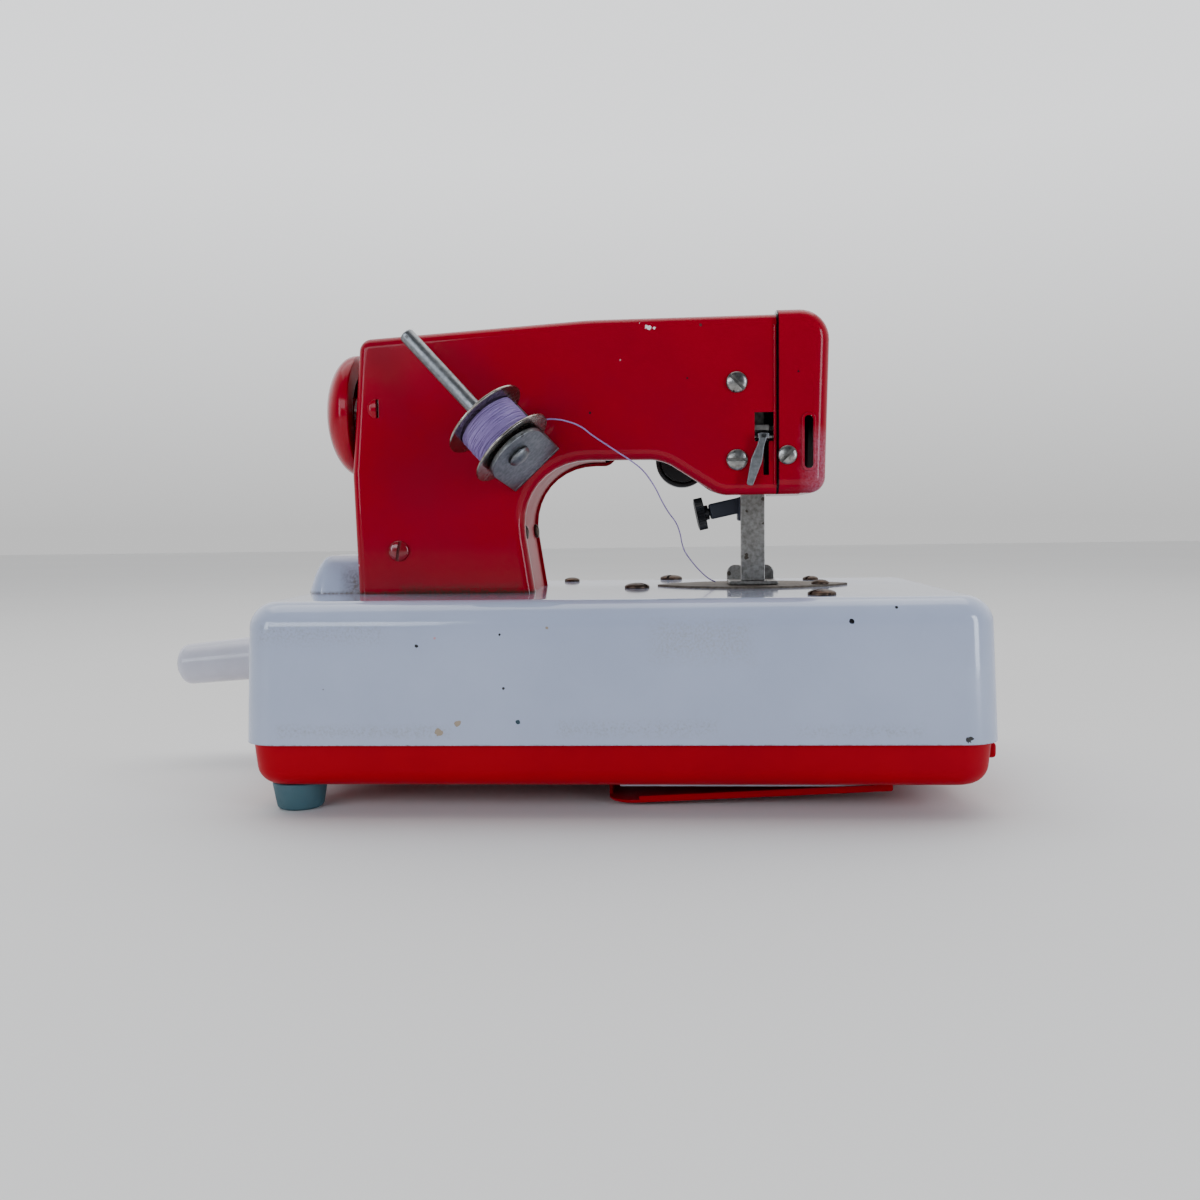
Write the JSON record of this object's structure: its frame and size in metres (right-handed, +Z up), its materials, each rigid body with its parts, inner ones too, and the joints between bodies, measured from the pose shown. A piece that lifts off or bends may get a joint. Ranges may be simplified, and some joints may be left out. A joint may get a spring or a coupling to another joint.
{
  "type": "toy sewing machine",
  "caption": "Toy sewing machine with a red folded-metal head on a white box base, hand crank, handwheel, needle, presser, bobbin on a slanted pin and battery drive.",
  "frame": {"origin": "on the table, under the middle of the machine's overall box", "axes": "+X along the arm towards the needle, +Y away from the viewer of the picture, +Z up"},
  "size_m": [0.2503, 0.1106, 0.1364],
  "materials": {
    "white_enamel": "gloss enamel, white with a cold cast",
    "red_paint": "gloss paint, deep crimson, lightly scuffed",
    "red_plastic": "gloss, red",
    "foot_rubber": "matt, blue-green",
    "steel": "dull, lightly pitted",
    "grey_steel": "dull grey plating",
    "plate_steel": "brownish, worn",
    "bronze_screws": "dark, tarnished",
    "brass": "plain",
    "navy_paint": "satin, very dark blue",
    "black_plastic": "satin black",
    "white_plastic": "gloss, white",
    "nylon": "natural",
    "cell_jacket": "dark printed jacket, plain",
    "lilac_thread": "soft, lilac"
  },
  "bodies": {
    "base": {"top_casing": "white_enamel", "base_pan": "red_paint", "rubber_feet": "foot_rubber", "gear_cover": "white_enamel", "rear_cover": "red_paint", "front_cover": "red_paint", "throat_strip": "red_paint", "throat_screws": "bronze_screws", "face_cap": "red_paint", "head_screws": "grey_steel", "column_screw": "red_paint", "bed_screws": "bronze_screws", "needle_plate": "plate_steel", "column_frame": "steel", "frame_screws": "bronze_screws", "needle_frame": "steel", "bushes": "brass", "pan_brackets": "steel", "motor_can": "steel", "shaft_hangers": "steel", "presser_spring": "steel", "spool_bracket": "grey_steel", "bracket_rivets": "grey_steel", "spool_pin": "steel", "tension_discs": "steel", "battery_box": "white_plastic", "battery_contacts": "brass", "batteries": "cell_jacket", "door_pin": "steel", "thread": "lilac_thread"},
    "main": {"main_shaft": "steel", "handwheel": "red_plastic", "main_gear": "nylon", "needle_crank": "steel"},
    "lay": {"lay_shaft": "steel", "lay_gears": "nylon"},
    "idler": {"idler_gear": "nylon"},
    "crank": {"crank_shaft": "steel", "crank_arm": "steel", "crank_gear": "nylon"},
    "grip": {"crank_grip": "white_plastic"},
    "lower": {"lower_shaft": "steel", "looper_set": "steel"},
    "motor": {"motor_rotor": "steel"},
    "needle": {"needle_bar": "steel", "needle_clamp": "navy_paint", "needle": "steel", "take_up_lever": "steel"},
    "thumb": {"thumb_screw": "black_plastic"},
    "presser": {"presser_bar": "steel", "presser_foot": "steel"},
    "lifter": {"lifter_lever": "grey_steel"},
    "knob": {"tension_knob": "black_plastic"},
    "spool": {"bobbin": "steel", "thread_winding": "lilac_thread"},
    "door": {"battery_door": "red_paint"},
    "feed": {"feed_dog": "steel"},
    "switch": {"switch_slider": "black_plastic"}
  },
  "joints": [
    {"name": "main_turn", "type": "hinge", "parent": "base", "child": "main", "pos_m": [-0.03634, 0, 0.1104], "axis": [1, 0, 0], "continuous": true},
    {"name": "lay_turn", "type": "hinge", "parent": "base", "child": "lay", "pos_m": [-0.03634, 0, 0.0576], "axis": [1, 0, 0], "continuous": true},
    {"name": "idler_turn", "type": "hinge", "parent": "base", "child": "idler", "pos_m": [-0.04084, 0, 0.084], "axis": [1, 0, 0], "continuous": true},
    {"name": "crank_turn", "type": "hinge", "parent": "base", "child": "crank", "pos_m": [-0.06634, 0, 0.0352], "axis": [1, 0, 0], "continuous": true},
    {"name": "lower_turn", "type": "hinge", "parent": "base", "child": "lower", "pos_m": [0.00366, 0.009, 0.04966], "axis": [1, 0, 0], "continuous": true},
    {"name": "motor_turn", "type": "hinge", "parent": "base", "child": "motor", "pos_m": [-0.01634, -0.0096, 0.04097], "axis": [1, 0, 0], "continuous": true},
    {"name": "grip_spin", "type": "hinge", "parent": "crank", "child": "grip", "pos_m": [-0.08184, 0.022, 0.0352], "axis": [-0.996, 0, -0.0889], "continuous": true},
    {"name": "needle_slide", "type": "slide", "parent": "base", "child": "needle", "axis": [0, 0, 1], "range_m": [-0.0126, 0]},
    {"name": "thumb_turn", "type": "hinge", "parent": "needle", "child": "thumb", "pos_m": [0.05966, 0.009, 0.0817], "axis": [-0.9781, 0, -0.2079], "range_deg": [-180, 180]},
    {"name": "lifter_turn", "type": "hinge", "parent": "base", "child": "lifter", "pos_m": [0.06516, -0.0165, 0.1008], "axis": [-1, 0, 0], "range_deg": [0, 85]},
    {"name": "presser_slide", "type": "slide", "parent": "base", "child": "presser", "axis": [0, 0, 1], "range_m": [0, 0.005], "deforming": ["presser_spring"]},
    {"name": "feed_slide", "type": "slide", "parent": "base", "child": "feed", "axis": [0, 1, 0], "range_m": [-0.0012, 0.0012]},
    {"name": "knob_turn", "type": "hinge", "parent": "base", "child": "knob", "pos_m": [0.04296, 0.028, 0.0967], "axis": [0, 1, 0], "range_deg": [0, 330]},
    {"name": "spool_spin", "type": "hinge", "parent": "base", "child": "spool", "pos_m": [-0.00314, -0.0365, 0.0966], "axis": [-0.6695, 0.1908, 0.7179], "continuous": true},
    {"name": "door_swing", "type": "hinge", "parent": "base", "child": "door", "pos_m": [0.09916, -0.005, 0.0048], "axis": [0, -1, 0], "range_deg": [-2.8, 95]},
    {"name": "switch_slide", "type": "slide", "parent": "base", "child": "switch", "axis": [1, 0, 0], "range_m": [-0.0025, 0.0025]}
  ],
  "couplings": [
    {"joint": "lay_turn", "follows": "main_turn", "ratio": 1},
    {"joint": "idler_turn", "follows": "main_turn", "ratio": -1.2},
    {"joint": "crank_turn", "follows": "main_turn", "ratio": -0.27273},
    {"joint": "lower_turn", "follows": "main_turn", "ratio": -1},
    {"joint": "motor_turn", "follows": "main_turn", "ratio": -3},
    {"joint": "lifter_turn", "follows": "presser_slide", "rad_per_m": 296.7}
  ]
}
